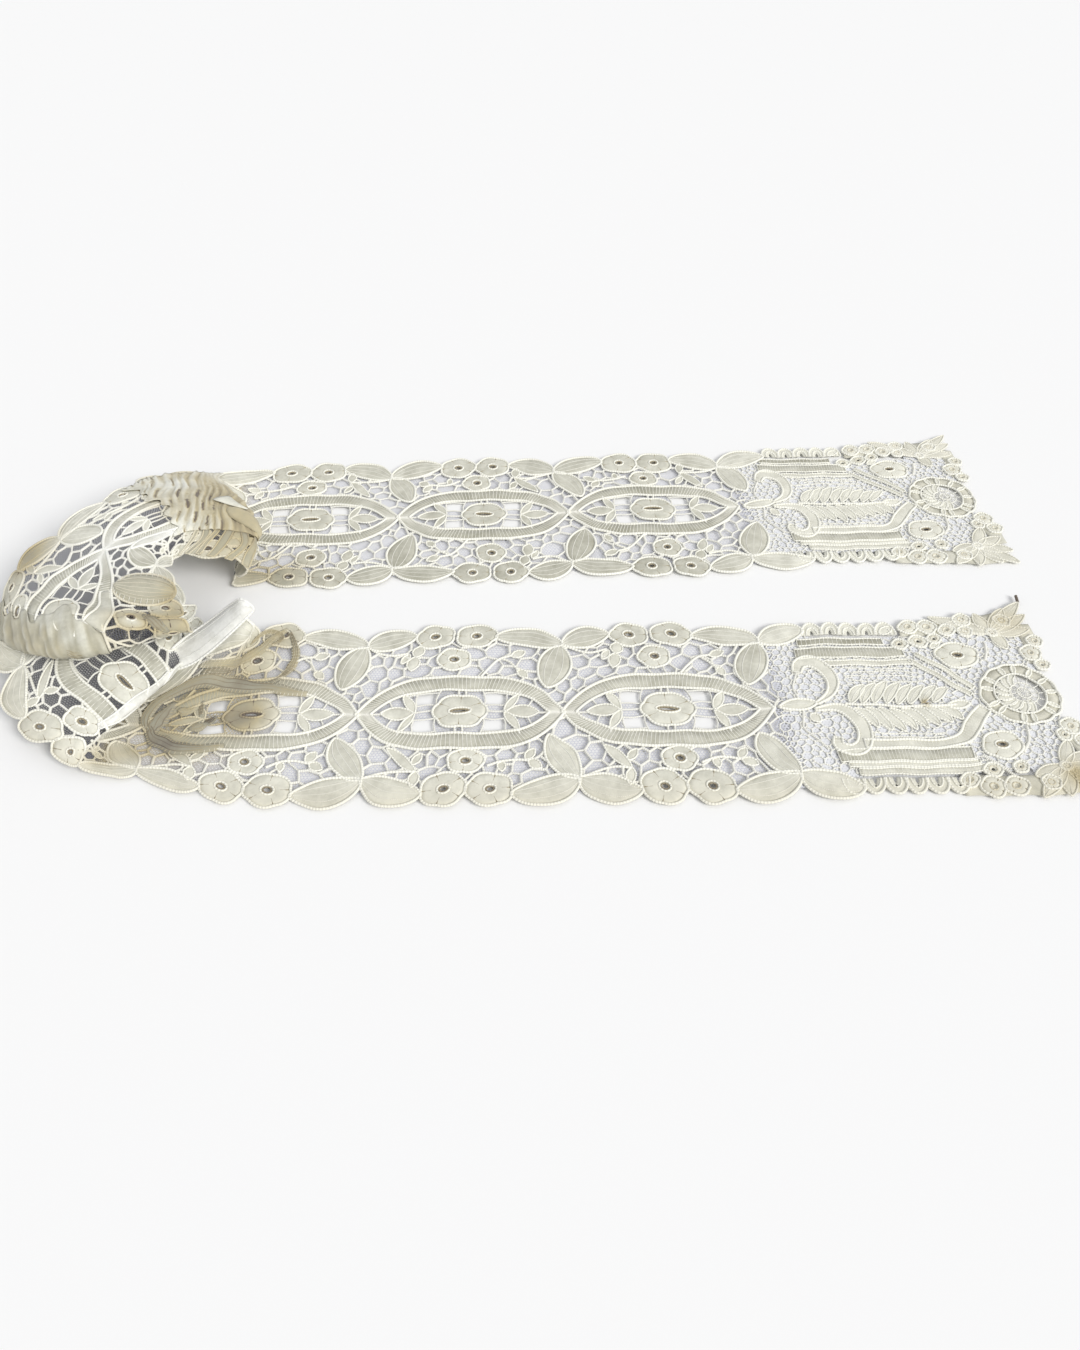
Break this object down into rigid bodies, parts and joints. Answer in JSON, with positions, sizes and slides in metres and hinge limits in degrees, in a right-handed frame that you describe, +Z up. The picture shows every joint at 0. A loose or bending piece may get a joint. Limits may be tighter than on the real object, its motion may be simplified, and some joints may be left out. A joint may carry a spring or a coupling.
{
  "type": "bobbin lace band",
  "caption": "Long cream part-lace band laid in a sideways U, with scalloped leaf edges, oval medallions, flared ends and a gathered, folded turn.",
  "frame": {"origin": "centre of the band's bounding box in X and Y, on the surface that it lies on", "axes": "+X from the gathered turn to the two flared ends; +Y from the near leg to the far leg; +Z up from the surface"},
  "size_m": [0.5129, 0.2626, 0.0393],
  "materials": {
    "lace_thread": "matte"
  },
  "bodies": {
    "root": {"lace_band": "lace_thread"}
  },
  "joints": []
}
